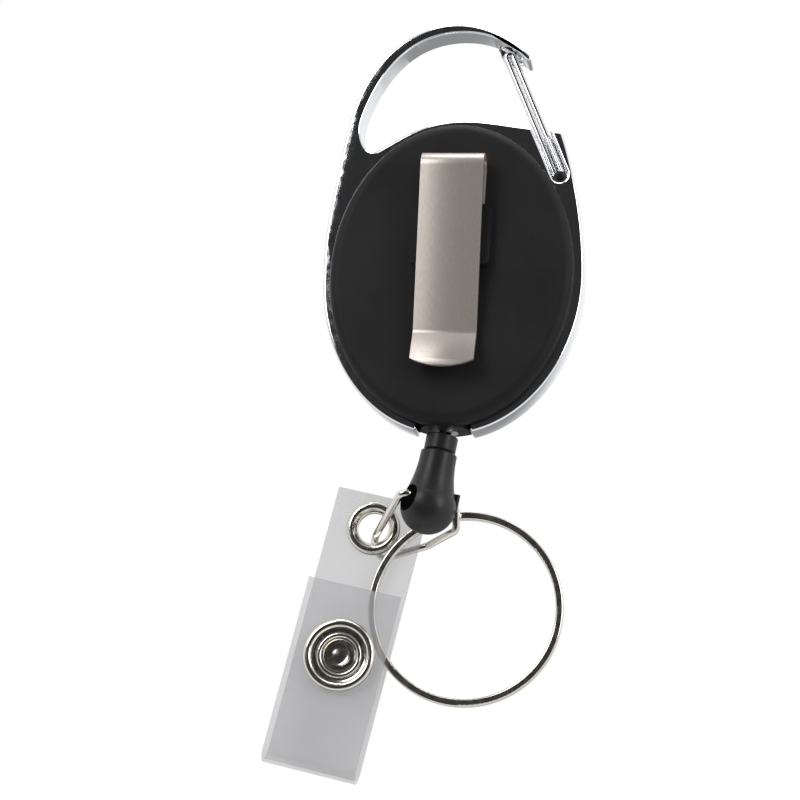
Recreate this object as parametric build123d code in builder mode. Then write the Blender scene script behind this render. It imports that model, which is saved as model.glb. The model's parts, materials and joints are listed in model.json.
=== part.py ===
"""Retractable badge reel with a carabiner frame, a belt clip, a key ring and a snap strap.

Millimetres. The reel hangs: +Z is up, the belt clip is on the -Y side and the front
face is on the +Y side. The origin is where a belt loop bears on the underside of the
carabiner arch. Most pieces of the reel are drawn on upright planes, in coordinates
(x, height above the middle of the housing), and extruded towards the back (-Y).
"""

import math
import os

from build123d import *

os.makedirs("parts", exist_ok=True)

# ---------------------------------------------------------------- driving dimensions
# Where the arch's underside is above the middle of the housing.
hook_height = 41.0

# Carabiner frame: a cast ring round the housing's waist, with the hook above it.
frame_thickness = 4.8
ring_half_width = 20.4
ring_half_height = 25.5
neck_gap_half = 4.15
front_cheek_thickness = 1.1

# Gate: a wire hairpin that turns on a pin in a slot of the frame's shoulder.
gate_pivot = (15.9, 16.8)
gate_lean = 23.6
gate_wire_radius = 0.5
gate_leg_gap = 0.12
gate_length = 22.95
gate_depth = -0.5
gate_opening = 12.0
gate_overtravel = 3.0
gate_pin_radius = 0.5
gate_hub_half_length = 0.6
gate_clearance = 0.18

# Housing: two moulded shells, flanged over the ring.
housing_half_width = 19.0
housing_half_height = 24.4
back_height = 5.2
front_height = 5.0
flange_gap = 0.05
waist_inset = 1.05
wall = 1.6
floor_thickness = 1.2
edge_radius = 1.7
shell_split_gap = 0.02
neck_radius = 3.75
neck_end = 24.35

# Front plate.
plate_half_width = 13.2
plate_half_height = 18.0
plate_thickness = 0.9
plate_pocket_depth = 0.7
plate_clearance = 0.1

# Belt clip: one folded strip of spring steel.
clip_width = 9.8
clip_thickness = 0.7
clip_top = 18.1
clip_bend_radius = 1.8
clip_crease_height = 15.7
clip_knee_height = -10.6
clip_lip_height = -16.5
clip_base_low = 1.5
clip_reach = 4.4
clip_knee_gap = 0.75
clip_lip_flare = 2.2
clip_end_sag = 1.25
pad_width = 12.4
pad_top = 10.2
pad_low = 0.4
pad_wall = 0.65
pad_clearance = 0.06

# Spool, spring and axle.
axle_radius = 1.5
axle_running = 0.05
boss_radius = 3.2
spool_radius = 14.2
spool_core_radius = 9.6
spool_half_length = 2.1
spool_flange = 0.6
spool_web = 1.2
spring_cup_radius = 8.6
spring_turns = 6
spring_strip = 0.3
cover_radius = 8.2
cover_thickness = 0.4
running_gap = 0.3

# Cord.
cord_radius = 0.5
winding_outer_radius = 12.6
winding_side_gap = 0.05
cord_bend_radius = 3.0
cord_bend_height = -23.0

# Cord exit eyelet.
ferrule_bore = 1.1
ferrule_tube_radius = 1.7
ferrule_flange_radius = 2.1
ferrule_flange = 0.35
ferrule_length = 1.8

# End fitting, along its own axis, which leans a little to the left.
fitting_lean = 8.0
collar_start = 0.5
collar_length = 2.45
collar_radius = 2.45
fitting_gap = 0.1
shoulder_radius = 2.8
ball_radius = 4.25
ball_station = 11.75
hole_station = 10.9
hole_radius = 2.1
hole_turn = 40.0
knot_radius = 1.3
knot_station = 5.4
knot_pocket_radius = 1.6
tail_running = 0.1
ear_size = (1.3, 0.9, 2.6)

# Wire loop.
loop_wire_radius = 0.6
loop_ball_gap = 0.65
loop_rise = 0.8
loop_corner_radius = 1.1
loop_end_gap = 0.3
# Corners of the wire, with their depths measured from the middle of the strap.
loop_corners = [
    (-10.6, -0.4, -39.6),
    (-11.3, 1.9, -40.6),
    (-9.9, 1.7, -43.0),
    (-2.8, 1.0, -40.9),
    (2.0, -1.8, -38.9),
]

# Key ring. It hangs just behind the swivel's ball, and the strap just behind the ring.
key_ring_radius = 14.4
key_ring_centre = (4.0, -50.9)
key_ring_gap = 0.1
key_ring_half_width = 0.6
key_ring_turn = 0.75

# Strap, in its own plane: down from the eyelet.
strap_eyelet = (-11.2, -38.6)
strap_lean = 11.0
strap_shift = 0.4
strap_width = 14.7
strap_thickness = 0.5
strap_above_eyelet = 5.2
fold_drop = 36.85
fold_radius = 1.8
flap_end_drop = 10.1
hinge_gap = 0.3
strap_corner = 1.4

# Eyelet.
eyelet_bore = 2.4
eyelet_tube = 2.75
eyelet_rim_radius = 4.15
eyelet_rim = 0.55
eyelet_flare_radius = 3.3
eyelet_flare = 0.12
washer_thickness = 0.43

# Snap: a cap and a socket on the flap, a stud and its rear disc on the strap.
snap_drop = 20.9
snap_across = 0.9
snap_shank_radius = 1.2
cap_radius = 5.6
cap_height = 1.6
cap_recess_radius = 4.3
cap_recess = 0.9
cap_button_radius = 2.3
cap_button_height = 0.6
socket_radius = 3.4
socket_height = 2.3
socket_floor = 0.4
stud_radius = 1.3
stud_clearance = 0.25
stud_entry = 1.25
stud_base_radius = 3.9
stud_base = 0.4
rear_disc_radius = 4.3
rear_disc_thickness = 0.7

# ---------------------------------------------------------------- shared frames
housing_z = -hook_height
half_frame = frame_thickness / 2
waist_half_width = housing_half_width - waist_inset
waist_half_height = housing_half_height - waist_inset
flange_start = half_frame + flange_gap
gate_leg_spacing = 2 * gate_wire_radius + gate_leg_gap
gate_hub_radius = gate_leg_spacing / 2 + 0.98 * gate_wire_radius
key_ring_depth = ball_radius + key_ring_gap + key_ring_turn
strap_depth = key_ring_depth + key_ring_turn + key_ring_gap + strap_thickness / 2
loop_reach = ball_radius + loop_ball_gap


def reel_plane(depth):
    """The upright plane at this depth, facing the back, centred on the housing."""
    return Plane(origin=(0, depth, housing_z), x_dir=(1, 0, 0), z_dir=(0, -1, 0))


def finish(part, name):
    """Name a piece and write it."""
    part.label = name
    export_step(part, f"parts/{name}.step")


def turned(x, height, angle):
    """A point of the reel plane turned about the gate's pivot, counterclockwise."""
    dx, dh = x - gate_pivot[0], height - gate_pivot[1]
    c, s = math.cos(math.radians(angle)), math.sin(math.radians(angle))
    return gate_pivot[0] + c * dx - s * dh, gate_pivot[1] + s * dx + c * dh


# ---------------------------------------------------------------- carabiner frame
arch_outside = [
    (-20.2, 9.7),
    (-19.4, 15.8),
    (-16.8, 29.8),
    (-10.8, 38.9),
    (-1.5, 42.4),
    (6.4, 40.0),
    (10.7, 36.6),
]
nose_tip = (10.1, 36.0)
lip_inside = [(8.5, 37.45), (6.9, 38.75), (5.0, 39.85)]
window = [
    (-1.5, 41.0),
    (-7.4, 39.3),
    (-12.7, 34.0),
    (-15.6, 27.6),
    (-16.0, 22.9),
    (-14.2, 20.5),
    (-12.2, 21.3),
    (-6.5, 24.5),
    (-0.2, 25.8),
    (6.2, 25.3),
    (11.6, 24.5),
]
shoulder_corner = (16.0, 23.9)
shoulder_side = [(17.9, 17.4), (19.6, 9.0)]
neck_angle = math.degrees(math.acos(neck_gap_half / ring_half_width))
inner_half_width = waist_half_width + flange_gap
inner_half_height = waist_half_height + flange_gap
inner_neck_angle = math.degrees(math.acos(neck_gap_half / inner_half_width))
slot_half_width = gate_leg_spacing / 2 + gate_wire_radius + gate_clearance
slot_reach = 12.0
slot_floor = half_frame - front_cheek_thickness
flare_half_depth = gate_wire_radius + gate_clearance
slot_angle = math.radians(gate_lean)
slot_across = (slot_half_width * math.cos(slot_angle), slot_half_width * math.sin(slot_angle))
slot_along = (-slot_reach * math.sin(slot_angle), slot_reach * math.cos(slot_angle))
slot_foot = (gate_pivot[0] + slot_across[0], gate_pivot[1] + slot_across[1])
slot_inner_foot = (gate_pivot[0] - slot_across[0], gate_pivot[1] - slot_across[1])
slot_top = (slot_foot[0] + slot_along[0], slot_foot[1] + slot_along[1])
slot_inner_top = (slot_inner_foot[0] + slot_along[0], slot_inner_foot[1] + slot_along[1])

with BuildPart() as carabiner_frame:
    with BuildSketch(reel_plane(half_frame)):
        with BuildLine():
            right = EllipticalCenterArc(
                (0, 0), ring_half_width, ring_half_height, -neck_angle, arc_size=neck_angle
            )
            Spline([right @ 1, *reversed(shoulder_side), shoulder_corner])
            Line(shoulder_corner, window[-1])
            Spline([*reversed(window), lip_inside[-1]])
            Spline([lip_inside[-1], *lip_inside[-2::-1], nose_tip])
            Line(nose_tip, arch_outside[-1])
            left = EllipticalCenterArc(
                (0, 0), ring_half_width, ring_half_height, 180, arc_size=neck_angle
            )
            Spline([*reversed(arch_outside), left @ 0])
            inside = EllipticalCenterArc(
                (0, 0),
                inner_half_width,
                inner_half_height,
                -inner_neck_angle,
                arc_size=180 + 2 * inner_neck_angle,
            )
            Line(left @ 1, inside @ 1)
            Line(inside @ 0, right @ 0)
        make_face()
    extrude(amount=frame_thickness)
    # The front of the nose carries a cheek that hides the gate's end.
    with BuildSketch(reel_plane(half_frame)):
        with BuildLine():
            Polyline((4.8, 40.4), (5.3, 38.2), (6.4, 36.2), (8.3, 37.1), (9.8, 36.7), (9.0, 38.0))
            Spline((9.0, 38.0), (6.9, 39.3), (4.8, 40.4))
        make_face()
    extrude(amount=front_cheek_thickness)
    # The slot is as wide as the gate. Behind its back lip it flares, so the gate can open.
    with BuildSketch(reel_plane(slot_floor)):
        with Locations(gate_pivot):
            Circle(gate_hub_radius + gate_clearance)
        with BuildLine():
            Polyline(slot_foot, slot_top, slot_inner_top, slot_inner_foot, slot_foot)
        make_face()
    extrude(amount=frame_thickness, mode=Mode.SUBTRACT)
    with BuildSketch(reel_plane(gate_depth + flare_half_depth)):
        with BuildLine():
            Polyline(
                slot_foot,
                slot_inner_top,
                turned(*slot_inner_top, gate_opening + gate_overtravel),
                turned(*slot_inner_foot, gate_opening + gate_overtravel),
                slot_foot,
            )
        make_face()
    extrude(amount=2 * flare_half_depth, mode=Mode.SUBTRACT)
    # Blind hole for the gate's pin.
    with BuildSketch(reel_plane(half_frame - front_cheek_thickness / 2)):
        with Locations(gate_pivot):
            Circle(gate_pin_radius)
    extrude(amount=frame_thickness, mode=Mode.SUBTRACT)
finish(carabiner_frame.part, "carabiner_frame")

with BuildPart() as gate_pin:
    pin_start = half_frame - front_cheek_thickness / 2
    with BuildSketch(reel_plane(pin_start)):
        with Locations(gate_pivot):
            Circle(gate_pin_radius)
    extrude(amount=pin_start - gate_depth + gate_hub_half_length + running_gap)
finish(gate_pin.part, "gate_pin")

# ---------------------------------------------------------------- gate
gate_angle = math.radians(gate_lean)
gate_plane = Plane(
    origin=(gate_pivot[0], gate_depth, housing_z + gate_pivot[1]),
    x_dir=(math.cos(gate_angle), 0, math.sin(gate_angle)),
    z_dir=(0, -1, 0),
)
gate_half_spacing = gate_leg_spacing / 2
gate_bend_centre = gate_length - gate_half_spacing
leg_foot = 0.7

with BuildPart() as gate_wire:
    with BuildLine(gate_plane) as hairpin:
        Line((-gate_half_spacing, leg_foot), (-gate_half_spacing, gate_bend_centre))
        ThreePointArc(
            (-gate_half_spacing, gate_bend_centre),
            (0, gate_length),
            (gate_half_spacing, gate_bend_centre),
        )
        Line((gate_half_spacing, gate_bend_centre), (gate_half_spacing, leg_foot))
    with BuildSketch(
        Plane(
            origin=gate_plane.from_local_coords((-gate_half_spacing, leg_foot, 0)),
            x_dir=gate_plane.x_dir,
            z_dir=gate_plane.y_dir,
        )
    ):
        Circle(gate_wire_radius)
    sweep(path=hairpin.line)
    with BuildSketch(gate_plane.offset(-gate_hub_half_length)):
        Circle(gate_hub_radius)
    extrude(amount=2 * gate_hub_half_length)
    with BuildSketch(gate_plane.offset(-gate_hub_half_length)):
        Circle(gate_pin_radius + axle_running)
    extrude(amount=2 * gate_hub_half_length, mode=Mode.SUBTRACT)
finish(gate_wire.part, "gate_wire")

# ---------------------------------------------------------------- housing shells
exit_plane = Plane(origin=(0, 0, housing_z - neck_end), x_dir=(1, 0, 0), z_dir=(0, 0, 1))
neck_length = neck_end - waist_half_height + wall
cavity_half_width = waist_half_width - wall
cavity_half_height = waist_half_height - wall
bore_length = neck_end - cavity_half_height + wall
front_floor = front_height - plate_pocket_depth - floor_thickness
back_floor = back_height - floor_thickness
cover_back = spool_half_length + running_gap + cover_thickness

with BuildPart() as housing_back:
    with BuildSketch(reel_plane(-shell_split_gap / 2)):
        Ellipse(waist_half_width, waist_half_height)
    extrude(amount=flange_start)
    with BuildSketch(reel_plane(-flange_start)):
        Ellipse(housing_half_width, housing_half_height)
    extrude(amount=back_height - flange_start)
    fillet(housing_back.faces().sort_by(Axis.Y)[0].edges(), radius=edge_radius)
    with BuildSketch(exit_plane):
        Circle(neck_radius)
    extrude(amount=neck_length)
    with BuildSketch(reel_plane(-back_height)):
        with Locations((0, (pad_top + pad_low) / 2)):
            RectangleRounded(pad_width, pad_top - pad_low, radius=1)
    extrude(amount=clip_thickness + 2 * pad_clearance + pad_wall)
    with BuildSketch(reel_plane(0)):
        Ellipse(cavity_half_width, cavity_half_height)
    extrude(amount=back_floor, mode=Mode.SUBTRACT)
    with BuildSketch(reel_plane(-cover_back)):
        Circle(boss_radius)
        Circle(axle_radius, mode=Mode.SUBTRACT)
    extrude(amount=back_floor - cover_back)
    with BuildSketch(exit_plane):
        Circle(ferrule_tube_radius)
    extrude(amount=bore_length, mode=Mode.SUBTRACT)
    # The pocket that holds the clip's base leaf, open at its top.
    with BuildSketch(reel_plane(-back_height)):
        with Locations((0, (pad_top + clip_base_low) / 2)):
            Rectangle(
                clip_width + 2 * pad_clearance, pad_top - clip_base_low + 2 * pad_clearance
            )
    extrude(amount=clip_thickness + 2 * pad_clearance, mode=Mode.SUBTRACT)
    # Everything in front of the parting plane belongs to the other shell.
    with BuildSketch(reel_plane(front_height)):
        Rectangle(4 * housing_half_width, 4 * housing_half_height)
    extrude(amount=front_height + shell_split_gap / 2, mode=Mode.SUBTRACT)
finish(housing_back.part, "housing_back")

with BuildPart() as housing_front:
    with BuildSketch(reel_plane(flange_start)):
        Ellipse(waist_half_width, waist_half_height)
    extrude(amount=flange_start - shell_split_gap / 2)
    with BuildSketch(reel_plane(front_height)):
        Ellipse(housing_half_width, housing_half_height)
    extrude(amount=front_height - flange_start)
    fillet(housing_front.faces().sort_by(Axis.Y)[-1].edges(), radius=edge_radius)
    with BuildSketch(exit_plane):
        Circle(neck_radius)
    extrude(amount=neck_length)
    with BuildSketch(reel_plane(front_floor)):
        Ellipse(cavity_half_width, cavity_half_height)
    extrude(amount=front_height, mode=Mode.SUBTRACT)
    with BuildSketch(exit_plane):
        Circle(ferrule_tube_radius)
    extrude(amount=bore_length, mode=Mode.SUBTRACT)
    with BuildSketch(reel_plane(front_height)):
        Ellipse(plate_half_width + plate_clearance, plate_half_height + plate_clearance)
    extrude(amount=plate_pocket_depth, mode=Mode.SUBTRACT)
    with BuildSketch(reel_plane(front_floor)):
        Circle(boss_radius)
        Circle(axle_radius, mode=Mode.SUBTRACT)
    extrude(amount=front_floor - spool_half_length - running_gap)
    # Everything behind the parting plane belongs to the other shell.
    with BuildSketch(reel_plane(shell_split_gap / 2)):
        Rectangle(4 * housing_half_width, 4 * housing_half_height)
    extrude(amount=back_height + frame_thickness, mode=Mode.SUBTRACT)
finish(housing_front.part, "housing_front")

with BuildPart() as front_plate:
    with BuildSketch(reel_plane(front_height - plate_pocket_depth + plate_thickness)):
        Ellipse(plate_half_width, plate_half_height)
    extrude(amount=plate_thickness)
    fillet(front_plate.faces().sort_by(Axis.Y)[-1].edges(), radius=plate_thickness / 3)
finish(front_plate.part, "front_plate")

# ---------------------------------------------------------------- belt clip
clip_inner = -back_height - pad_clearance - clip_thickness / 2
clip_outer = clip_inner - clip_reach + clip_thickness
clip_side = Plane(origin=(0, 0, housing_z), x_dir=(0, 1, 0), z_dir=(1, 0, 0))

with BuildPart() as belt_clip:
    with BuildSketch(clip_side):
        with BuildLine():
            FilletPolyline(
                (clip_inner, clip_base_low),
                (clip_inner, clip_top - clip_thickness / 2),
                (clip_outer, clip_top - clip_thickness / 2),
                (clip_outer, clip_crease_height),
                (clip_inner - clip_knee_gap, clip_knee_height),
                (clip_inner - clip_knee_gap - clip_lip_flare, clip_lip_height),
                radius=clip_bend_radius,
            )
        trace(line_width=clip_thickness)
    extrude(amount=clip_width / 2, both=True)
    with BuildSketch(reel_plane(0)):
        with BuildLine():
            Polyline(
                (-clip_width / 2, clip_lip_height + clip_end_sag),
                (-clip_width / 2, clip_top + 1),
                (clip_width / 2, clip_top + 1),
                (clip_width / 2, clip_lip_height + clip_end_sag),
            )
            ThreePointArc(
                (clip_width / 2, clip_lip_height + clip_end_sag),
                (0, clip_lip_height),
                (-clip_width / 2, clip_lip_height + clip_end_sag),
            )
        make_face()
    extrude(amount=4 * back_height, mode=Mode.INTERSECT)
finish(belt_clip.part, "belt_clip")

# ---------------------------------------------------------------- cord exit eyelet
with BuildPart() as cord_ferrule:
    with BuildSketch(exit_plane.offset(-ferrule_flange)):
        Circle(ferrule_flange_radius)
    extrude(amount=ferrule_flange)
    with BuildSketch(exit_plane):
        Circle(ferrule_tube_radius)
    extrude(amount=ferrule_length)
    with BuildSketch(exit_plane.offset(-ferrule_flange)):
        Circle(ferrule_bore)
    extrude(amount=ferrule_flange + ferrule_length, mode=Mode.SUBTRACT)
finish(cord_ferrule.part, "cord_ferrule")

# ---------------------------------------------------------------- axle, spool and spring
with BuildPart() as spool_axle:
    with BuildSketch(reel_plane(front_floor)):
        Circle(axle_radius)
    extrude(amount=front_floor + back_floor)
finish(spool_axle.part, "spool_axle")

with BuildPart() as spool:
    with BuildSketch(reel_plane(spool_half_length)):
        Circle(spool_core_radius)
    extrude(amount=2 * spool_half_length)
    for flange_side in (spool_half_length, -spool_half_length + spool_flange):
        with BuildSketch(reel_plane(flange_side)):
            Circle(spool_radius)
        extrude(amount=spool_flange)
    with BuildSketch(reel_plane(spool_half_length - spool_web)):
        Circle(spring_cup_radius)
    extrude(amount=2 * spool_half_length, mode=Mode.SUBTRACT)
    with BuildSketch(reel_plane(spool_half_length)):
        Circle(axle_radius + axle_running)
    extrude(amount=spool_web, mode=Mode.SUBTRACT)
finish(spool.part, "spool")


spring_inner_radius = axle_radius + spring_strip / 10
spring_outer_radius = spring_cup_radius - running_gap
spring_pitch = (spring_outer_radius - spring_strip - spring_inner_radius) / spring_turns


def spiral(radius, steps_per_turn=10):
    """Points of the spring's spiral, starting at this radius."""
    count = spring_turns * steps_per_turn
    for step in range(count + 1):
        turn = step / steps_per_turn
        reach = radius + spring_pitch * turn
        angle = 2 * math.pi * turn
        yield reach * math.cos(angle), reach * math.sin(angle)


spring_front = spool_half_length - spool_web - running_gap
spring_back = spool_half_length - running_gap

with BuildPart() as power_spring:
    with BuildSketch(reel_plane(spring_front)):
        with BuildLine():
            inside = Spline(list(spiral(spring_inner_radius)))
            outside = Spline(list(spiral(spring_inner_radius + spring_strip)))
            Line(inside @ 0, outside @ 0)
            Line(inside @ 1, outside @ 1)
        make_face()
    extrude(amount=spring_front + spring_back)
finish(power_spring.part, "power_spring")

with BuildPart() as spring_cover:
    with BuildSketch(reel_plane(-spool_half_length - running_gap)):
        Circle(cover_radius)
        Circle(axle_radius, mode=Mode.SUBTRACT)
    extrude(amount=cover_thickness)
finish(spring_cover.part, "spring_cover")

# ---------------------------------------------------------------- cord
winding_half_length = spool_half_length - spool_flange - winding_side_gap

with BuildPart() as cord_winding:
    with BuildSketch(reel_plane(winding_half_length)):
        Circle(winding_outer_radius)
        Circle(spool_core_radius, mode=Mode.SUBTRACT)
    extrude(amount=2 * winding_half_length)
finish(cord_winding.part, "cord_winding")

lean = math.radians(fitting_lean)
exit_height = -neck_end - ferrule_flange
fitting_start = (
    (cord_bend_height - exit_height) * -math.tan(lean),
    exit_height,
)
fitting_down = (-math.sin(lean), -math.cos(lean))


def on_fitting(station):
    """The point this far down the end fitting's axis, in the reel plane."""
    return (
        fitting_start[0] + station * fitting_down[0],
        fitting_start[1] + station * fitting_down[1],
    )


lead_clear_radius = winding_outer_radius + cord_radius + running_gap / 2
lead_angle = math.asin(lead_clear_radius / -cord_bend_height)
lead_run = math.sqrt(cord_bend_height**2 - lead_clear_radius**2)
lead_top = (
    lead_run * math.sin(lead_angle),
    cord_bend_height + lead_run * math.cos(lead_angle),
)

with BuildPart() as cord_lead:
    with BuildLine(reel_plane(0)) as lead_path:
        FilletPolyline(
            lead_top,
            (0, cord_bend_height),
            on_fitting(collar_start),
            radius=cord_bend_radius,
        )
    with BuildSketch(Plane(origin=lead_path.line @ 0, z_dir=lead_path.line % 0)):
        Circle(cord_radius)
    sweep(path=lead_path.line)
finish(cord_lead.part, "cord_lead")


def fitting_plane(station):
    """The plane across the end fitting at this station, facing down its axis."""
    x, height = on_fitting(station)
    return Plane(
        origin=(x, 0, housing_z + height),
        x_dir=(math.cos(lean), 0, -math.sin(lean)),
        z_dir=(fitting_down[0], 0, fitting_down[1]),
    )


collar_end = collar_start + collar_length
body_start = collar_end + fitting_gap

with BuildPart() as cord_collar:
    with BuildSketch(fitting_plane(collar_start)):
        Circle(collar_radius)
    extrude(amount=collar_length)
    fillet(cord_collar.edges().filter_by(GeomType.CIRCLE), radius=0.2)
    with BuildSketch(fitting_plane(collar_start)):
        Circle(cord_radius)
    extrude(amount=collar_length, mode=Mode.SUBTRACT)
finish(cord_collar.part, "cord_collar")

with BuildPart() as cord_tail:
    with BuildSketch(fitting_plane(collar_start)):
        Circle(cord_radius)
    extrude(amount=knot_station - collar_start)
finish(cord_tail.part, "cord_tail")

with BuildPart() as cord_knot:
    with BuildSketch(fitting_plane(knot_station)):
        Circle(knot_radius)
    extrude(amount=knot_radius)
    fillet(cord_knot.edges().filter_by(GeomType.CIRCLE), radius=knot_radius / 3)
finish(cord_knot.part, "cord_knot")

# ---------------------------------------------------------------- swivel body
axis_side = Plane(
    origin=fitting_plane(0).origin,
    x_dir=(math.cos(lean), 0, -math.sin(lean)),
    z_dir=(0, 1, 0),
)
hole_centre = on_fitting(hole_station)
hole_direction = (math.cos(math.radians(hole_turn)), math.sin(math.radians(hole_turn)), 0)
pocket_start = knot_station - 0.3
pocket_length = 2.4
cone_end = ball_station - 1.9
cone_end_radius = math.sqrt(ball_radius**2 - (ball_station - cone_end) ** 2)

with BuildPart() as swivel_body:
    with BuildSketch(axis_side):
        with BuildLine():
            Polyline(
                (0, ball_station + ball_radius),
                (0, body_start),
                (shoulder_radius - 0.3, body_start),
                (shoulder_radius, body_start + 0.3),
            )
            Spline(
                (shoulder_radius, body_start + 0.3),
                (3.15, 7.4),
                (cone_end_radius, cone_end),
            )
            ThreePointArc(
                (cone_end_radius, cone_end),
                (ball_radius * math.cos(0.5), ball_station + ball_radius * math.sin(0.5)),
                (0, ball_station + ball_radius),
            )
        make_face()
    revolve(axis=Axis(origin=fitting_plane(0).origin, direction=fitting_plane(0).z_dir))
    with BuildSketch(fitting_plane(body_start)):
        Circle(cord_radius + tail_running)
    extrude(amount=pocket_start - body_start, mode=Mode.SUBTRACT)
    with BuildSketch(fitting_plane(pocket_start)):
        Circle(knot_pocket_radius)
    extrude(amount=pocket_length, mode=Mode.SUBTRACT)
    with BuildSketch(
        Plane(
            origin=(hole_centre[0], 0, housing_z + hole_centre[1]),
            x_dir=(0, 0, 1),
            z_dir=hole_direction,
        )
    ):
        Circle(hole_radius)
    extrude(amount=2 * ball_radius, both=True, mode=Mode.SUBTRACT)
ear_place = Plane(
    origin=fitting_plane(hole_station - 0.6).from_local_coords((ball_radius - 0.55, -1.0, 0)),
    x_dir=fitting_plane(0).x_dir,
    z_dir=fitting_plane(0).z_dir,
)
with BuildPart() as swivel_ear:
    with BuildSketch(ear_place.offset(-ear_size[2] / 2)):
        RectangleRounded(ear_size[0], ear_size[1], radius=0.3)
    extrude(amount=ear_size[2])
finish(swivel_body.part + swivel_ear.part, "swivel_body")

# ---------------------------------------------------------------- wire loop
hole_point = Vector(hole_centre[0], 0, housing_z + hole_centre[1])
through = Vector(*hole_direction)

with BuildPart() as wire_loop:
    with BuildLine() as loop_path:
        FilletPolyline(
            hole_point - through * (loop_end_gap / 2),
            hole_point - through * loop_reach + Vector(0, 0, loop_rise),
            *(
                Vector(x, strap_depth + depth, housing_z + height)
                for x, depth, height in loop_corners
            ),
            hole_point + through * loop_reach,
            hole_point + through * (loop_end_gap / 2),
            radius=loop_corner_radius,
        )
    with BuildSketch(Plane(origin=loop_path.line @ 0, z_dir=loop_path.line % 0)):
        Circle(loop_wire_radius)
    sweep(path=loop_path.line)
finish(wire_loop.part, "wire_loop")

# ---------------------------------------------------------------- key ring
ring_plane = Plane(
    origin=(key_ring_centre[0], key_ring_depth, housing_z + key_ring_centre[1]),
    x_dir=(1, 0, 0),
    z_dir=(0, 0, 1),
)
ring_axis = Axis(origin=ring_plane.origin, direction=(0, 1, 0))

with BuildPart() as key_ring:
    with BuildSketch(ring_plane):
        for turn_side in (-0.5, 0.5):
            with Locations((key_ring_radius, turn_side * key_ring_turn)):
                RectangleRounded(
                    2 * key_ring_half_width, key_ring_turn, radius=0.45 * key_ring_turn
                )
    revolve(axis=ring_axis)
finish(key_ring.part, "key_ring")

# ---------------------------------------------------------------- strap
strap_angle = math.radians(strap_lean)
strap_across = (math.cos(strap_angle), 0, -math.sin(strap_angle))
strap_origin = Vector(strap_eyelet[0], strap_depth, housing_z + strap_eyelet[1])
strap_middle = strap_origin + Vector(*strap_across) * strap_shift
strap_side = Plane(origin=strap_middle, x_dir=(0, 1, 0), z_dir=strap_across)
half_strap = strap_thickness / 2
flap_depth = strap_depth - 2 * fold_radius


def strap_plane(depth, across=0.0, drop=0.0):
    """A plane along the strap at this depth, facing the back; origin from the eyelet."""
    level = Plane(
        origin=(strap_origin.X, depth, strap_origin.Z), x_dir=strap_across, z_dir=(0, -1, 0)
    )
    return Plane(
        origin=level.from_local_coords((across, -drop, 0)), x_dir=strap_across, z_dir=(0, -1, 0)
    )


strap_front_face = strap_depth - half_strap
strap_back_face = strap_depth + half_strap
flap_front_face = flap_depth - half_strap
flap_inner_face = flap_depth + half_strap

with BuildPart() as strap_back:
    with BuildSketch(strap_side):
        with BuildLine():
            Line((0, strap_above_eyelet), (0, -fold_drop))
            ThreePointArc(
                (0, -fold_drop),
                (-fold_radius, -fold_drop - fold_radius),
                (-2 * fold_radius, -fold_drop),
            )
        trace(line_width=strap_thickness)
    extrude(amount=strap_width / 2, both=True)
    top_corners = strap_back.edges().filter_by(Axis.Y).sort_by(Axis.Z)[-2:]
    fillet(top_corners, radius=strap_corner)
    with BuildSketch(strap_plane(strap_back_face)):
        Circle(eyelet_tube)
    extrude(amount=strap_thickness, mode=Mode.SUBTRACT)
    with BuildSketch(strap_plane(strap_back_face, snap_across, snap_drop)):
        Circle(snap_shank_radius)
    extrude(amount=strap_thickness, mode=Mode.SUBTRACT)
finish(strap_back.part, "strap_back")

with BuildPart() as strap_flap:
    with BuildSketch(strap_side):
        with Locations((-2 * fold_radius, -(fold_drop - hinge_gap + flap_end_drop) / 2)):
            Rectangle(strap_thickness, fold_drop - hinge_gap - flap_end_drop)
    extrude(amount=strap_width / 2, both=True)
    with BuildSketch(strap_plane(flap_inner_face, snap_across, snap_drop)):
        Circle(snap_shank_radius)
    extrude(amount=strap_thickness, mode=Mode.SUBTRACT)
finish(strap_flap.part, "strap_flap")

# ---------------------------------------------------------------- eyelet
washer_back = strap_back_face + washer_thickness

with BuildPart() as eyelet:
    with BuildSketch(strap_plane(washer_back)):
        Circle(eyelet_tube)
    extrude(amount=washer_thickness + strap_thickness)
    with BuildSketch(strap_plane(strap_front_face)):
        Circle(eyelet_rim_radius)
    extrude(amount=eyelet_rim)
    fillet(eyelet.faces().sort_by(Axis.Y)[0].edges(), radius=0.8 * eyelet_rim)
    with BuildSketch(strap_plane(washer_back + eyelet_flare)):
        Circle(eyelet_flare_radius)
    extrude(amount=eyelet_flare)
    with BuildSketch(strap_plane(washer_back + eyelet_flare)):
        Circle(eyelet_bore)
    extrude(amount=2 * eyelet_tube, mode=Mode.SUBTRACT)
finish(eyelet.part, "eyelet")

with BuildPart() as eyelet_washer:
    with BuildSketch(strap_plane(washer_back)):
        Circle(eyelet_rim_radius)
    extrude(amount=washer_thickness)
    fillet(eyelet_washer.faces().sort_by(Axis.Y)[-1].edges(), radius=washer_thickness / 2)
    with BuildSketch(strap_plane(washer_back)):
        Circle(eyelet_tube)
    extrude(amount=washer_thickness, mode=Mode.SUBTRACT)
finish(eyelet_washer.part, "eyelet_washer")

# ---------------------------------------------------------------- snap
socket_back = flap_inner_face + socket_height
stud_tip = socket_back - stud_entry

snap_point = strap_plane(flap_front_face, snap_across, snap_drop).origin
snap_side = Plane(
    origin=snap_point,
    x_dir=strap_across,
    z_dir=(-math.sin(strap_angle), 0, -math.cos(strap_angle)),
)
cap_rim = (cap_radius - cap_recess_radius) / 2
recess_height = cap_height - cap_recess
button_height = recess_height + cap_button_height

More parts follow.
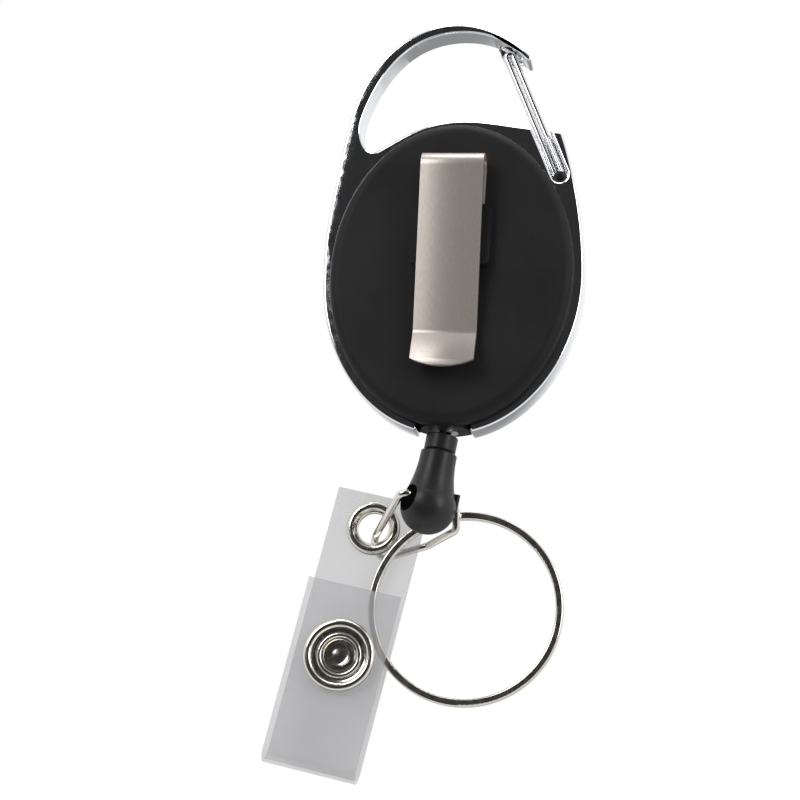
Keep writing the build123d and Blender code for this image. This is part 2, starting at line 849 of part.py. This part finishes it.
with BuildPart() as snap_cap:
    with BuildSketch(snap_side):
        with BuildLine():
            Polyline((cap_recess_radius, cap_height - cap_rim), (cap_recess_radius, recess_height))
            Line((cap_recess_radius, recess_height), (cap_button_radius, recess_height))
            ThreePointArc(
                (cap_button_radius, recess_height),
                (0.8 * cap_button_radius, recess_height + 0.7 * cap_button_height),
                (cap_button_radius / 2, button_height),
            )
            Polyline(
                (cap_button_radius / 2, button_height),
                (0, button_height),
                (0, -strap_thickness),
                (snap_shank_radius, -strap_thickness),
                (snap_shank_radius, 0),
                (cap_radius, 0),
                (cap_radius, cap_height - cap_rim),
            )
            ThreePointArc(
                (cap_radius, cap_height - cap_rim),
                (cap_radius - cap_rim, cap_height),
                (cap_recess_radius, cap_height - cap_rim),
            )
        make_face()
    revolve(axis=Axis(origin=snap_point, direction=(0, -1, 0)))
finish(snap_cap.part, "snap_cap")

with BuildPart() as snap_socket:
    with BuildSketch(strap_plane(socket_back, snap_across, snap_drop)):
        Circle(socket_radius)
    extrude(amount=socket_height)
    fillet(snap_socket.faces().sort_by(Axis.Y)[-1].edges(), radius=socket_floor)
    with BuildSketch(strap_plane(socket_back, snap_across, snap_drop)):
        Circle(stud_radius + stud_clearance)
    extrude(amount=socket_height - socket_floor, mode=Mode.SUBTRACT)
finish(snap_socket.part, "snap_socket")

with BuildPart() as snap_stud:
    with BuildSketch(strap_plane(strap_front_face, snap_across, snap_drop)):
        Circle(stud_base_radius)
    extrude(amount=stud_base)
    with BuildSketch(strap_plane(strap_front_face, snap_across, snap_drop)):
        Circle(stud_radius)
    extrude(amount=strap_front_face - stud_tip)
    fillet(snap_stud.faces().sort_by(Axis.Y)[0].edges(), radius=stud_radius / 2)
finish(snap_stud.part, "snap_stud")

with BuildPart() as snap_rear_disc:
    with BuildSketch(
        strap_plane(strap_back_face + rear_disc_thickness, snap_across, snap_drop)
    ):
        Circle(rear_disc_radius)
    extrude(amount=rear_disc_thickness)
    fillet(
        snap_rear_disc.faces().sort_by(Axis.Y)[-1].edges(), radius=rear_disc_thickness / 2
    )
    with BuildSketch(strap_plane(strap_back_face, snap_across, snap_drop)):
        Circle(snap_shank_radius)
    extrude(amount=strap_thickness)
finish(snap_rear_disc.part, "snap_rear_disc")
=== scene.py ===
"""A retractable badge reel in its carabiner frame, hanging in a pale studio."""

import json
import math

import bpy
from mathutils import Matrix, Vector


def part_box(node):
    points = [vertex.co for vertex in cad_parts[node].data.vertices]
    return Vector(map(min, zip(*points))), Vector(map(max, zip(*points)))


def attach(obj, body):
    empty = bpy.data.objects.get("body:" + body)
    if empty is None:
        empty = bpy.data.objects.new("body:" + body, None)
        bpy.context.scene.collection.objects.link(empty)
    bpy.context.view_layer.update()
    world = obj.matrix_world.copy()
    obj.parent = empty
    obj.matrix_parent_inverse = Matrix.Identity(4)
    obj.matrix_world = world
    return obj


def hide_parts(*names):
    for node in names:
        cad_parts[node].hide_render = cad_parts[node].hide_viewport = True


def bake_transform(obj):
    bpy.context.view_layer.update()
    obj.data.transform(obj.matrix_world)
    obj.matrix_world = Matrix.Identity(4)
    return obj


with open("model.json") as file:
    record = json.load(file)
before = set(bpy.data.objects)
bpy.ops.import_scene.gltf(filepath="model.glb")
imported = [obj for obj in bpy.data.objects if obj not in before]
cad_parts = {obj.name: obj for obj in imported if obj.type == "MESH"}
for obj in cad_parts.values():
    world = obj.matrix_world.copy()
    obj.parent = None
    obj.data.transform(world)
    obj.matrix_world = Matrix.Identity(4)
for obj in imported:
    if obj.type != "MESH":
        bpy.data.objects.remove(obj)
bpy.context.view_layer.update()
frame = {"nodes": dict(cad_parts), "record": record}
nodes = frame["nodes"]
joints = {joint["name"]: joint for joint in frame["record"]["behaviour"]["joints"]}

MM = 0.001

# ------------------------------------------------------------------ hand tools


def clear_selection():
    """Nothing is selected, so the next step works on what it adds."""
    if bpy.context.mode != "OBJECT":
        bpy.ops.object.mode_set(mode="OBJECT")
    bpy.ops.object.select_all(action="DESELECT")


def take(piece):
    """Selects one piece alone and makes it active."""
    clear_selection()
    piece.select_set(True)
    bpy.context.view_layer.objects.active = piece


def pick_vertices(piece, wanted):
    """In edit mode, selects the vertices whose place passes the test."""
    bpy.ops.mesh.select_all(action="DESELECT")
    bpy.ops.object.mode_set(mode="OBJECT")
    for vertex in piece.data.vertices:
        vertex.select = bool(wanted(vertex.co))
    bpy.ops.object.mode_set(mode="EDIT")


def set_in_place(piece):
    """The piece's object goes to the origin and its place into its mesh."""
    take(piece)
    bpy.ops.object.transform_apply(location=True, rotation=True, scale=True)


def use_modifier(piece, kind, **settings):
    """Adds a modifier with these settings and applies it."""
    take(piece)
    bpy.ops.object.modifier_add(type=kind)
    modifier = piece.modifiers[-1]
    for key, value in settings.items():
        setattr(modifier, key, value)
    bpy.ops.object.modifier_apply(modifier=modifier.name)


# ------------------------------------------------------------------ finishes


class Finish:
    """A node material round one Principled shader, patterned in object space."""

    def __init__(self, name, colour, metallic=0.0, roughness=0.5):
        self.material = bpy.data.materials.new(name)
        self.material.use_nodes = True
        self.tree = self.material.node_tree
        self.nodes = self.tree.nodes
        self.links = self.tree.links
        self.shader = self.nodes["Principled BSDF"]
        self.colour = colour
        self.roughness = roughness
        self.put("Base Color", (*colour, 1.0))
        self.put("Metallic", metallic)
        self.put("Roughness", roughness)
        self.place = self.nodes.new("ShaderNodeTexCoord").outputs["Object"]

    def put(self, socket, value):
        """Sets one of the shader's own sockets."""
        self.shader.inputs[socket].default_value = value

    def mapped(self, stretch):
        """Object coordinates scaled by these factors."""
        mapping = self.nodes.new("ShaderNodeMapping")
        mapping.inputs["Scale"].default_value = stretch
        self.links.new(self.place, mapping.inputs["Vector"])
        return mapping.outputs["Vector"]

    def noise(self, scale, detail=3.0, stretch=(1, 1, 1)):
        """A noise pattern; scale is in features to the metre."""
        noise = self.nodes.new("ShaderNodeTexNoise")
        noise.inputs["Scale"].default_value = scale
        noise.inputs["Detail"].default_value = detail
        self.links.new(self.mapped(stretch), noise.inputs["Vector"])
        return noise.outputs["Fac"]

    def ranged(self, value, low, high, start=0.3, end=0.7):
        """Maps a pattern onto the range low to high."""
        ramp = self.nodes.new("ShaderNodeMapRange")
        ramp.inputs["From Min"].default_value = start
        ramp.inputs["From Max"].default_value = end
        ramp.inputs["To Min"].default_value = low
        ramp.inputs["To Max"].default_value = high
        self.links.new(value, ramp.inputs["Value"])
        return ramp.outputs["Result"]

    def vary_roughness(self, pattern, spread):
        """Roughness wanders by the spread to each side."""
        result = self.ranged(pattern, self.roughness - spread, self.roughness + spread)
        self.links.new(result, self.shader.inputs["Roughness"])

    def vary_colour(self, pattern, other):
        """Colour wanders between the finish's own and another."""
        mix = self.nodes.new("ShaderNodeMix")
        mix.data_type = "RGBA"
        mix.inputs["A"].default_value = (*self.colour, 1.0)
        mix.inputs["B"].default_value = (*other, 1.0)
        self.links.new(self.ranged(pattern, 0.0, 1.0), mix.inputs["Factor"])
        self.links.new(mix.outputs["Result"], self.shader.inputs["Base Color"])

    def bump(self, pattern, strength, distance):
        """Raises the surface by the pattern; bumps add to the ones before."""
        bump = self.nodes.new("ShaderNodeBump")
        bump.inputs["Strength"].default_value = strength
        bump.inputs["Distance"].default_value = distance
        self.links.new(pattern, bump.inputs["Height"])
        before = self.shader.inputs["Normal"].links
        if before:
            self.links.new(before[0].from_socket, bump.inputs["Normal"])
        self.links.new(bump.outputs["Normal"], self.shader.inputs["Normal"])


def plated_casting():
    finish = Finish("plated_casting", (0.80, 0.81, 0.84), 1.0, 0.06)
    finish.vary_roughness(finish.noise(900, 4), 0.03)
    finish.bump(finish.noise(260, 2), 0.10, 0.0002)
    return finish.material


def plated_wire():
    finish = Finish("plated_wire", (0.80, 0.80, 0.81), 1.0, 0.13)
    finish.vary_roughness(finish.noise(1500, 3), 0.05)
    return finish.material


def bright_nickel():
    finish = Finish("bright_nickel", (0.70, 0.67, 0.62), 1.0, 0.17)
    finish.vary_roughness(finish.noise(1200, 4), 0.06)
    finish.bump(finish.noise(2600, 3), 0.06, 0.0001)
    return finish.material


def drawn_nickel():
    finish = Finish("drawn_nickel", (0.45, 0.405, 0.37), 0.60, 0.32)
    along = finish.noise(1.0, 4, (9000, 9000, 25))
    finish.vary_colour(along, (0.38, 0.34, 0.31))
    finish.vary_roughness(along, 0.04)
    finish.bump(finish.noise(120, 2), 0.05, 0.0003)
    return finish.material


def moulded_black(name, roughness, grain, grain_depth, shine=0.28):
    finish = Finish(name, (0.011, 0.011, 0.012), 0.0, roughness)
    finish.put("Specular IOR Level", shine)
    finish.vary_roughness(finish.noise(700, 3), 0.05)
    finish.vary_colour(finish.noise(90, 4), (0.016, 0.016, 0.017))
    finish.bump(finish.noise(grain, 3), 0.30, grain_depth)
    return finish.material


def bare_steel():
    finish = Finish("bare_steel", (0.36, 0.36, 0.38), 1.0, 0.32)
    finish.vary_roughness(finish.noise(1100, 4), 0.08)
    finish.bump(finish.noise(1.0, 3, (700, 700, 6000)), 0.08, 0.00005)
    return finish.material


# Near-black steel for the gate's pivot pin and hub: painted shade, dark to stand in for the shadow
# inside the pivot pit.
def pit_shade_steel():
    finish = Finish("pit_shade_steel", (0.03, 0.03, 0.032), 1.0, 0.38)
    finish.vary_roughness(finish.noise(1300, 3), 0.08)
    return finish.material


def natural_plastic():
    finish = Finish("natural_plastic", (0.74, 0.74, 0.71), 0.0, 0.42)
    finish.vary_colour(finish.noise(150, 3), (0.70, 0.70, 0.67))
    finish.bump(finish.noise(3000, 2), 0.10, 0.00005)
    return finish.material


def braided_cord():
    finish = Finish("braided_cord", (0.014, 0.014, 0.016), 0.0, 0.75)
    wave = finish.nodes.new("ShaderNodeTexWave")
    wave.bands_direction = "DIAGONAL"
    wave.inputs["Scale"].default_value = 1.0
    wave.inputs["Distortion"].default_value = 1.5
    finish.links.new(finish.mapped((1100, 1100, 1100)), wave.inputs["Vector"])
    finish.bump(wave.outputs["Fac"], 0.6, 0.00012)
    finish.vary_colour(wave.outputs["Fac"], (0.03, 0.03, 0.033))
    return finish.material


def clear_vinyl():
    finish = Finish("clear_vinyl", (0.40, 0.40, 0.415), 0.0, 0.16)
    finish.put("Alpha", 0.36)
    finish.put("IOR", 1.52)
    finish.put("Coat Weight", 0.35)
    finish.put("Coat Roughness", 0.08)
    finish.vary_roughness(finish.noise(220, 3), 0.06)
    finish.vary_colour(finish.noise(70, 3), (0.46, 0.46, 0.475))
    finish.bump(finish.noise(140, 3), 0.25, 0.0004)
    return finish.material


FINISHES = {
    "chrome_cast": plated_casting(),
    "chrome_wire": plated_wire(),
    "dark_steel": pit_shade_steel(),
    "black_housing": moulded_black("moulded_shell", 0.50, 5200, 0.00008, 0.10),
    "black_gloss": moulded_black("label_plate", 0.24, 900, 0.00002),
    "black_fitting": moulded_black("moulded_fitting", 0.36, 3200, 0.00005),
    "nickel_strip": drawn_nickel(),
    "nickel_bright": bright_nickel(),
    "spring_steel": bare_steel(),
    "white_plastic": natural_plastic(),
    "black_cord": braided_cord(),
    "clear_vinyl": clear_vinyl(),
}

for part in frame["record"]["subparts"]:
    nodes[part["node"]].material_slots[0].material = FINISHES[part["material_slot"]]


def dress(piece, slot):
    """Gives a new piece the finish kept under this slot."""
    piece.data.materials.clear()
    piece.data.materials.append(FINISHES[slot])


# ------------------------------------------------------------------ strap

eyelet_at = Vector(joints["strap_swing"]["pos_m"])
fold_at = Vector(joints["flap_open"]["pos_m"])
across = Vector(joints["flap_open"]["axis"]).normalized()
up = Vector((-across.z, 0, across.x))

STRAP_THICKNESS = 0.5 * MM
STRAP_WIDTH = 14.7 * MM
ABOVE_EYELET = 5.2 * MM
FLAP_LENGTH = 26.75 * MM
BACK_STEPS = 22
FLAP_STEPS = 14
STRAP_COLUMNS = 14
FOLD_STEPS = 16
EYELET_HOLE = 2.75 * MM
SNAP_HOLE = 1.2 * MM

fold_radius = (eyelet_at.y - fold_at.y) / 2
strap_foot = Vector((fold_at.x, eyelet_at.y, fold_at.z))
back_length = (eyelet_at - strap_foot).dot(up) + ABOVE_EYELET
strap_head = strap_foot + up * back_length


def strap_route():
    """Steps from the strap's head down its back layer, round the fold and up the flap."""
    steps = []
    for _ in range(BACK_STEPS):
        steps.append(-up * (back_length / BACK_STEPS))
    for step in range(FOLD_STEPS):
        a, b = (math.pi * (step + k) / FOLD_STEPS for k in (0, 1))
        over = Vector((0, -fold_radius * (math.cos(a) - math.cos(b)), 0))
        down = up * (-fold_radius * (math.sin(b) - math.sin(a)))
        steps.append(over + down)
    for _ in range(FLAP_STEPS):
        steps.append(up * (FLAP_LENGTH / FLAP_STEPS))
    return steps


def make_strap():
    clear_selection()
    bpy.ops.mesh.primitive_plane_add(size=1, location=(0, 0, 0))
    strap = bpy.context.object
    strap.name = "strap_sheet"
    bpy.ops.object.mode_set(mode="EDIT")
    bpy.ops.mesh.select_all(action="SELECT")
    bpy.ops.mesh.merge(type="COLLAPSE")
    bpy.ops.transform.translate(value=strap_head - across * (STRAP_WIDTH / 2))
    for _ in range(STRAP_COLUMNS):
        bpy.ops.mesh.extrude_region_move(
            TRANSFORM_OT_translate={"value": across * (STRAP_WIDTH / STRAP_COLUMNS)}
        )
    bpy.ops.mesh.select_all(action="SELECT")
    for step in strap_route():
        bpy.ops.mesh.extrude_region_move(TRANSFORM_OT_translate={"value": step})
    bpy.ops.mesh.select_all(action="SELECT")
    bpy.ops.mesh.normals_make_consistent(inside=False)
    bpy.ops.object.mode_set(mode="OBJECT")
    return strap


strap_sheet = make_strap()
use_modifier(strap_sheet, "SOLIDIFY", thickness=STRAP_THICKNESS, offset=0.0)


def punch(sheet, centre, radius):
    """Cuts a round hole through the back layer or the flap."""
    clear_selection()
    bpy.ops.mesh.primitive_cylinder_add(
        vertices=48, radius=radius, depth=2.2 * STRAP_THICKNESS, location=centre,
        rotation=(math.pi / 2, 0, 0),
    )
    punch_tool = bpy.context.object
    use_modifier(sheet, "BOOLEAN", object=punch_tool, operation="DIFFERENCE", solver="EXACT")
    bpy.data.objects.remove(punch_tool)


snap_low, snap_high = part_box("snap_cap")
snap_at = (snap_low + snap_high) / 2
punch(strap_sheet, eyelet_at, EYELET_HOLE)
punch(strap_sheet, Vector((snap_at.x, eyelet_at.y, snap_at.z)), SNAP_HOLE)
punch(strap_sheet, Vector((snap_at.x, fold_at.y, snap_at.z)), SNAP_HOLE)
set_in_place(strap_sheet)
bpy.ops.object.shade_smooth_by_angle(angle=math.radians(35))
dress(strap_sheet, "clear_vinyl")
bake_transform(strap_sheet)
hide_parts("strap_back", "strap_flap")

# ------------------------------------------------------------------ carabiner frame

EDGE_ROUNDING = 0.45 * MM
FRAME_WELD = 0.04 * MM
PIN_SURROUND = 2.2 * MM
EDGE_STEPS = 5
WELD = 0.002 * MM


def copy_node(node, name, weld=WELD):
    """A loose copy of a CAD node's mesh, welded, to be finished by hand."""
    piece = nodes[node].copy()
    piece.data = nodes[node].data.copy()
    piece.parent = None
    for key in list(piece.keys()):
        del piece[key]
    piece.name = name
    bpy.context.scene.collection.objects.link(piece)
    take(piece)
    if piece.data.has_custom_normals:
        bpy.ops.mesh.customdata_custom_splitnormals_clear()
    bpy.ops.object.mode_set(mode="EDIT")
    bpy.ops.mesh.select_all(action="SELECT")
    bpy.ops.mesh.remove_doubles(threshold=weld)
    bpy.ops.mesh.select_all(action="SELECT")
    bpy.ops.mesh.mark_sharp(clear=True)
    bpy.ops.mesh.dissolve_limited(angle_limit=math.radians(0.6))
    bpy.ops.object.mode_set(mode="OBJECT")
    return piece


def round_rims(piece, faces_y, keep_off, away):
    """Rounds the sharp edges that lie on these two depths, away from one place."""
    bpy.ops.object.mode_set(mode="EDIT")
    bpy.ops.mesh.select_mode(type="EDGE")
    bpy.ops.mesh.select_all(action="DESELECT")
    bpy.ops.mesh.edges_select_sharp(sharpness=math.radians(40))
    bpy.ops.object.mode_set(mode="OBJECT")
    places = [vertex.co for vertex in piece.data.vertices]
    for edge in piece.data.edges:
        ends = [places[index] for index in edge.vertices]
        on_rim = any(all(abs(end.y - y) < WELD for end in ends) for y in faces_y)
        clear = all((Vector((end.x, 0, end.z)) - keep_off).length > away for end in ends)
        edge.select = edge.select and on_rim and clear
    for vertex in piece.data.vertices:
        vertex.select = False
    bpy.ops.object.mode_set(mode="EDIT")
    bpy.ops.mesh.bevel(offset=EDGE_ROUNDING, segments=EDGE_STEPS, clamp_overlap=False)
    bpy.ops.mesh.select_mode(type="VERT")
    bpy.ops.object.mode_set(mode="OBJECT")


frame_casting = copy_node("carabiner_frame", "frame_casting", FRAME_WELD)
frame_low, frame_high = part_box("carabiner_frame")
pin_at = Vector(joints["gate_swing"]["pos_m"])
pin_at.y = 0
round_rims(frame_casting, (frame_low.y, frame_high.y), pin_at, PIN_SURROUND)
bpy.ops.object.shade_smooth_by_angle(angle=math.radians(38))
dress(frame_casting, "chrome_cast")
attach(frame_casting, "reel")
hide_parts("carabiner_frame")

# ------------------------------------------------------------------ belt clip

CREASE_DEPTH = 0.28 * MM
CREASE_HALF = 0.30 * MM
CREASE_DROP = 2.45 * MM
OUTER_LAYER_DEPTH = 1.54 * MM
CLIP_ROUNDING = 0.09 * MM

clip_low, clip_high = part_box("belt_clip")
crease_at = clip_high.z - CREASE_DROP
clip_strip = copy_node("belt_clip", "clip_strip")
bpy.ops.object.mode_set(mode="EDIT")
for level in (crease_at - CREASE_HALF, crease_at, crease_at + CREASE_HALF):
    bpy.ops.mesh.select_all(action="SELECT")
    bpy.ops.mesh.bisect(plane_co=(0, 0, level), plane_no=(0, 0, 1))
outer_skin = clip_low.y + OUTER_LAYER_DEPTH
pick_vertices(
    clip_strip, lambda place: abs(place.z - crease_at) < WELD and place.y < outer_skin
)
bpy.ops.transform.translate(value=(0, CREASE_DEPTH, 0))
bpy.ops.object.mode_set(mode="OBJECT")
use_modifier(
    clip_strip, "BEVEL", width=CLIP_ROUNDING, segments=2, limit_method="ANGLE",
    angle_limit=math.radians(30),
)
bpy.ops.object.shade_smooth_by_angle(angle=math.radians(30))
dress(clip_strip, "nickel_strip")
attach(clip_strip, "reel")
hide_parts("belt_clip")

# ------------------------------------------------------------------ snap and eyelet


def turned_piece(name, outline, foot, way, steps=72):
    """Spins an outline of (radius, height) pairs about the line from foot along way."""
    clear_selection()
    bpy.ops.mesh.primitive_plane_add(size=1, location=(0, 0, 0))
    piece = bpy.context.object
    piece.name = name
    bpy.ops.object.mode_set(mode="EDIT")
    bpy.ops.mesh.select_all(action="SELECT")
    bpy.ops.mesh.merge(type="CENTER")
    side = way.cross(up).normalized()
    places = [foot + side * (radius * MM) + way * (height * MM) for radius, height in outline]
    bpy.ops.transform.translate(value=places[0])
    for before, after in zip(places, places[1:]):
        bpy.ops.mesh.extrude_region_move(TRANSFORM_OT_translate={"value": after - before})
    bpy.ops.mesh.select_all(action="SELECT")
    bpy.ops.mesh.spin(steps=steps, angle=2 * math.pi, center=foot, axis=way)
    bpy.ops.mesh.select_all(action="SELECT")
    bpy.ops.mesh.remove_doubles(threshold=WELD)
    bpy.ops.mesh.select_all(action="SELECT")
    bpy.ops.mesh.normals_make_consistent(inside=False)
    bpy.ops.object.mode_set(mode="OBJECT")
    bpy.ops.object.shade_smooth_by_angle(angle=math.radians(50))
    return piece


def bead(centre_radius, centre_height, radius, start, end, count=9):
    """Points round part of a rolled bead, angles in degrees from outward towards up."""
    turn = [math.radians(start + (end - start) * k / (count - 1)) for k in range(count)]
    return [
        (centre_radius + radius * math.cos(a), centre_height + radius * math.sin(a))
        for a in turn
    ]


outward = Vector((0, -1, 0))
cap_foot = Vector((snap_at.x, fold_at.y - STRAP_THICKNESS / 2, snap_at.z))
cap_outline = [
    (0.0, -0.45), (1.15, -0.45), (1.15, 0.0), (5.0, 0.0),
    *bead(5.15, 0.28, 0.28, -90, 60, 6),
    *bead(4.85, 0.92, 0.68, -10, 190, 12),
    (4.05, 0.50), (3.75, 0.42),
    *bead(3.1, 0.62, 0.46, 10, 175, 8),
    (2.45, 0.40), (2.20, 0.34),
    *bead(0.0, 0.48, 1.9, -4, 30, 5),
    (1.25, 1.28), (0.75, 1.40), (0.0, 1.45),
]
snap_front = turned_piece("snap_front", cap_outline, cap_foot, outward)
dress(snap_front, "nickel_bright")
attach(snap_front, "flap")
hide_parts("snap_cap")

eyelet_face = Vector((eyelet_at.x, eyelet_at.y - STRAP_THICKNESS / 2, eyelet_at.z))
eyelet_outline = [
    *bead(3.45, 0.0, 0.70, 0, 150, 12),
    (2.55, 0.10), (2.42, -0.15), (2.40, -0.6),
    (2.42, -0.95), (2.60, -1.04), (3.20, -1.05), (3.28, -0.98), (3.20, -0.94),
    (2.72, -0.92), (2.72, 0.0), (4.15, 0.0),
]
eyelet_roll = turned_piece("eyelet_roll", eyelet_outline, eyelet_face, outward)
dress(eyelet_roll, "nickel_bright")
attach(eyelet_roll, "strap")
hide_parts("eyelet")

# ------------------------------------------------------------------ cord in the exit

pull_way = Vector(joints["cord_pull"]["axis"]).normalized()
swivel_at = Vector(joints["swivel_turn"]["pos_m"])
CORD_RADIUS = 0.5 * MM
CORD_START = 6.2 * MM
CORD_END = 3.9 * MM
cord_top = swivel_at - pull_way * CORD_START
cord_foot = swivel_at - pull_way * CORD_END


def make_cord():
    clear_selection()
    middle = (cord_top + cord_foot) / 2
    bpy.ops.mesh.primitive_cylinder_add(
        vertices=24, radius=CORD_RADIUS, depth=(cord_foot - cord_top).length,
        location=middle, rotation=pull_way.to_track_quat("Z", "Y").to_euler(),
    )
    cord = bpy.context.object
    cord.name = "cord_run"
    bpy.ops.object.mode_set(mode="EDIT")
    bpy.ops.mesh.select_all(action="SELECT")
    bpy.ops.mesh.subdivide(number_cuts=2)
    bpy.ops.object.mode_set(mode="OBJECT")
    return cord


cord_run = make_cord()
set_in_place(cord_run)
bpy.ops.object.shade_smooth_by_angle(angle=math.radians(40))
dress(cord_run, "black_cord")
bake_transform(cord_run)

# ------------------------------------------------------------------ studio

AZIMUTH = math.radians(9.8)
ELEVATION = math.radians(-15.2)
ROLL = math.radians(3.8)
CAMERA_AT = (0.0504344, -0.3341968, -0.1527279)
FIELD_OF_VIEW = math.radians(19.93)
LAMP_LEVEL = 0.7
FLOOR_LEVEL = -1.6


def make_camera():
    toward = Vector((
        math.sin(AZIMUTH) * math.cos(ELEVATION),
        -math.cos(AZIMUTH) * math.cos(ELEVATION),
        math.sin(ELEVATION),
    ))
    level = Vector((math.cos(AZIMUTH), math.sin(AZIMUTH), 0))
    upright = toward.cross(level)
    right = math.cos(ROLL) * level + math.sin(ROLL) * upright
    top = math.cos(ROLL) * upright - math.sin(ROLL) * level
    camera = bpy.data.objects.new("camera", bpy.data.cameras.new("camera"))
    bpy.context.scene.collection.objects.link(camera)
    turn = Matrix((right, top, toward)).transposed().to_4x4()
    camera.matrix_world = Matrix.Translation(CAMERA_AT) @ turn
    camera.data.angle = FIELD_OF_VIEW
    camera.data.clip_start = 0.01
    camera.data.clip_end = 20
    bpy.context.scene.camera = camera


def soft_box(name, place, aim, size, power, colour=(1, 1, 1)):
    light = bpy.data.lights.new(name, "AREA")
    light.shape = "RECTANGLE"
    light.size, light.size_y = size
    light.energy = power
    light.color = colour
    lamp = bpy.data.objects.new(name, light)
    bpy.context.scene.collection.objects.link(lamp)
    lamp.location = place
    lamp.rotation_euler = (Vector(aim) - Vector(place)).to_track_quat("-Z", "Y").to_euler()
    lamp.visible_camera = False
    return lamp


def make_world():
    """White to look at, a little softer as a lamp; metal mirrors a dark room on one side."""
    world = bpy.data.worlds.new("studio")
    bpy.context.scene.world = world
    world.use_nodes = True
    tree = world.node_tree
    background = tree.nodes["Background"]
    background.inputs["Strength"].default_value = 1.0
    place = tree.nodes.new("ShaderNodeTexCoord")
    split = tree.nodes.new("ShaderNodeSeparateXYZ")
    tree.links.new(place.outputs["Generated"], split.inputs["Vector"])

    def band(axis, low, high, dark, light):
        ramp = tree.nodes.new("ShaderNodeMapRange")
        ramp.interpolation_type = "SMOOTHSTEP"
        for socket, value in zip(("From Min", "From Max", "To Min", "To Max"), (low, high, dark, light)):
            ramp.inputs[socket].default_value = value
        tree.links.new(split.outputs[axis], ramp.inputs["Value"])
        return ramp.outputs["Result"]

    def joined(operation, first, second):
        step = tree.nodes.new("ShaderNodeMath")
        step.operation = operation
        for socket, value in zip(step.inputs, (first, second)):
            if isinstance(value, float):
                socket.default_value = value
            else:
                tree.links.new(value, socket)
        return step.outputs["Value"]

    behind = joined("MULTIPLY", band("Y", 0.45, 0.9, 0.0, 0.68), band("Z", -0.3, 0.25, 1.0, 0.0))
    wall = joined("SUBTRACT", 1.0, behind)
    room = joined("MULTIPLY", band("Y", -0.80, -0.25, 0.03, 1.0), wall)
    path = tree.nodes.new("ShaderNodeLightPath")
    lit = tree.nodes.new("ShaderNodeMapRange")
    lit.inputs["To Min"].default_value = LAMP_LEVEL
    lit.inputs["To Max"].default_value = 1.0
    tree.links.new(path.outputs["Is Camera Ray"], lit.inputs["Value"])
    mix = tree.nodes.new("ShaderNodeMix")
    mix.data_type = "RGBA"
    tree.links.new(path.outputs["Is Glossy Ray"], mix.inputs["Factor"])
    tree.links.new(lit.outputs["Result"], mix.inputs["A"])
    tree.links.new(room, mix.inputs["B"])
    tree.links.new(mix.outputs["Result"], background.inputs["Color"])


def make_floor():
    clear_selection()
    bpy.ops.mesh.primitive_plane_add(size=6, location=(0, 0, FLOOR_LEVEL))
    floor = bpy.context.object
    floor.name = "floor"
    finish = Finish("floor_paint", (0.86, 0.86, 0.86), 0.0, 0.6)
    finish.vary_colour(finish.noise(3, 2), (0.88, 0.88, 0.88))
    floor.data.materials.append(finish.material)
    floor.visible_glossy = False


bpy.context.scene.view_settings.view_transform = "Standard"
make_camera()
make_world()
make_floor()
middle = (0, 0, -0.05)
soft_box("front_left", (-0.45, -0.65, 0.35), middle, (0.35, 0.5), 3.0)
soft_box("front_right", (0.55, -0.35, 0.10), middle, (0.25, 0.5), 1.6)
soft_box("top", (0.0, -0.1, 0.7), middle, (0.5, 0.3), 3.0)
